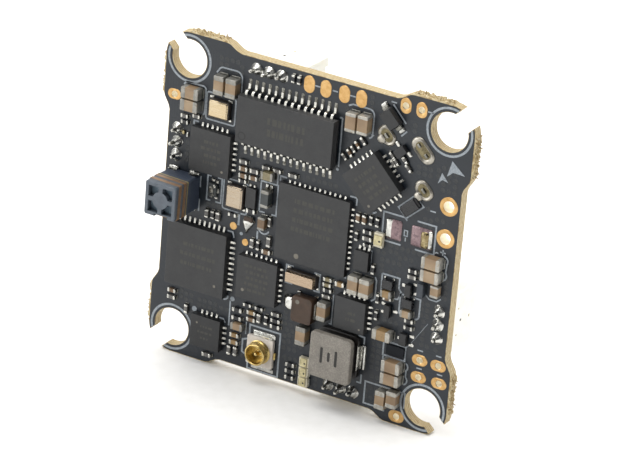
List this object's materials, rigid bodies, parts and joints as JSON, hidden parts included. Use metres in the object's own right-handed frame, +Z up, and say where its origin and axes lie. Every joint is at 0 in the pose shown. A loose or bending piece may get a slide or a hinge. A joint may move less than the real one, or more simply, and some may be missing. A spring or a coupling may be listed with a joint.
{
  "type": "flight controller board",
  "caption": "Square miniature multirotor flight controller with claw-shaped mounting corners, tower antenna, coaxial socket, motor sockets and a USB port on the back.",
  "frame": {"origin": "middle of the bounding box at the level of the lowest board edge, board standing upright", "axes": "+X to the right of the component face, +Z up the board, +Y out of the back face, so the component face looks along -Y"},
  "size_m": [0.0304, 0.0092, 0.0303],
  "materials": {
    "solder_mask": "semi-gloss near-black solder mask over glass-fibre laminate, bare cream laminate on the edges",
    "capacitor_ceramic": "fired tan ceramic with satin tin ends",
    "chip_epoxy": "matte dark grey moulding compound",
    "black_epoxy": "matte black moulding compound",
    "ferrite": "matte light grey ferrite",
    "moulded_inductor": "dark brown moulded ferrite composite",
    "bead_ceramic": "dark grey-green fired ferrite with tin ends",
    "gold_lid": "satin gold-plated lid",
    "pale_lid": "satin pale gold lid",
    "package_ceramic": "dark fired ceramic",
    "socket_plastic": "natural cream engineering plastic",
    "gold_plate": "polished gold plate",
    "antenna_plastic": "slate grey plastic with copper-coloured plated bands",
    "led_phosphor": "cream translucent lens",
    "connector_nylon": "natural white nylon",
    "nickel_shell": "nickel-plated sheet",
    "black_plastic": "black moulded plastic"
  },
  "bodies": {
    "board": {"antenna_socket_base": "socket_plastic", "antenna_socket_pin": "gold_plate", "antenna_socket_shell": "gold_plate", "boot_button_housing": "nickel_shell", "ceramic_capacitor_01": "capacitor_ceramic", "ceramic_capacitor_02": "capacitor_ceramic", "ceramic_capacitor_03": "capacitor_ceramic", "ceramic_capacitor_04": "capacitor_ceramic", "ceramic_capacitor_05": "capacitor_ceramic", "ceramic_capacitor_06": "capacitor_ceramic", "ceramic_capacitor_07": "capacitor_ceramic", "ceramic_capacitor_08": "capacitor_ceramic", "ceramic_capacitor_09": "capacitor_ceramic", "ceramic_capacitor_10": "capacitor_ceramic", "ceramic_capacitor_11": "capacitor_ceramic", "ceramic_capacitor_12": "capacitor_ceramic", "ceramic_capacitor_13": "capacitor_ceramic", "ceramic_capacitor_14": "capacitor_ceramic", "ceramic_capacitor_15": "capacitor_ceramic", "ceramic_capacitor_16": "capacitor_ceramic", "ceramic_capacitor_17": "capacitor_ceramic", "ceramic_capacitor_18": "capacitor_ceramic", "circuit_board": "solder_mask", "ferrite_bead": "bead_ceramic", "filter_inductor": "moulded_inductor", "main_processor": "chip_epoxy", "motion_sensor_chip": "chip_epoxy", "motor_controller_chip": "chip_epoxy", "motor_driver_chip_bottom": "black_epoxy", "motor_driver_chip_left": "black_epoxy", "motor_driver_chip_right": "black_epoxy", "motor_driver_chip_top": "black_epoxy", "motor_socket_bottom": "connector_nylon", "motor_socket_left": "connector_nylon", "motor_socket_right": "connector_nylon", "motor_socket_top": "connector_nylon", "osd_chip": "chip_epoxy", "power_inductor": "ferrite", "processor_resonator_base": "package_ceramic", "processor_resonator_lid": "pale_lid", "receiver_controller_chip": "chip_epoxy", "receiver_oscillator_base": "package_ceramic", "receiver_oscillator_lid": "gold_lid", "receiver_radio_chip": "chip_epoxy", "rf_amplifier_chip": "chip_epoxy", "status_led_1": "led_phosphor", "status_led_2": "led_phosphor", "status_led_3": "led_phosphor", "status_led_4": "led_phosphor", "supply_diode": "black_epoxy", "tower_antenna": "antenna_plastic", "transmitter_oscillator_base": "package_ceramic", "transmitter_oscillator_lid": "gold_lid", "usb_shell": "nickel_shell", "usb_tongue": "black_plastic", "video_transmitter_chip": "chip_epoxy", "voltage_regulator_chip": "chip_epoxy"},
    "boot_button": {"boot_button_plunger": "black_plastic"}
  },
  "joints": [
    {"name": "boot_button_press", "type": "slide", "parent": "board", "child": "boot_button", "axis": [0, -1, 0], "range_m": [0, 0.00025], "stiffness_N_per_m": 400, "springref_m": -0.0002}
  ]
}
